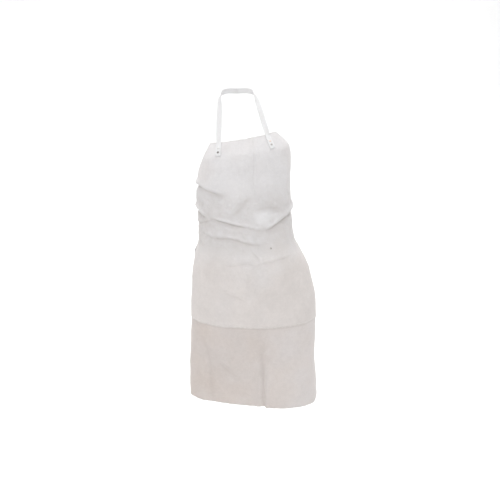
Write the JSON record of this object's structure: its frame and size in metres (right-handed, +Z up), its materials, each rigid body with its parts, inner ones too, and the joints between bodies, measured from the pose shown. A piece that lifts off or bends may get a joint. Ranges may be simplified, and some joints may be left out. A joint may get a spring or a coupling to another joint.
{
  "type": "leather work apron",
  "caption": "Off-white split leather bib apron for hot work, worn form, with a lapped lower skirt, a woven neck strap on rivets and a waist strap with a slide buckle.",
  "frame": {"origin": "at the nape, on the inner face of the middle of the neck strap, where the apron hangs on the wearer's neck", "axes": "+Z up, the front of the apron faces -Y, +X is to the viewer's right of the front"},
  "size_m": [0.4286, 0.2663, 1.0089],
  "materials": {
    "leather_upper": "napped split leather, off-white, matt",
    "leather_lower": "napped split leather, slightly pinker off-white, matt",
    "tape": "woven cotton tape, white, matt",
    "rivet_metal": "dulled steel",
    "buckle_metal": "plain dulled steel"
  },
  "bodies": {
    "root": {"bib_panel": "leather_upper", "skirt_panel": "leather_lower", "neck_strap": "tape", "waist_strap": "tape", "strap_rivet_left_upper": "rivet_metal", "strap_rivet_left_lower": "rivet_metal", "strap_rivet_right_upper": "rivet_metal", "strap_rivet_right_lower": "rivet_metal", "waist_rivet_left": "rivet_metal", "waist_rivet_right": "rivet_metal", "front_rivet": "rivet_metal", "waist_buckle": "buckle_metal"}
  },
  "joints": []
}
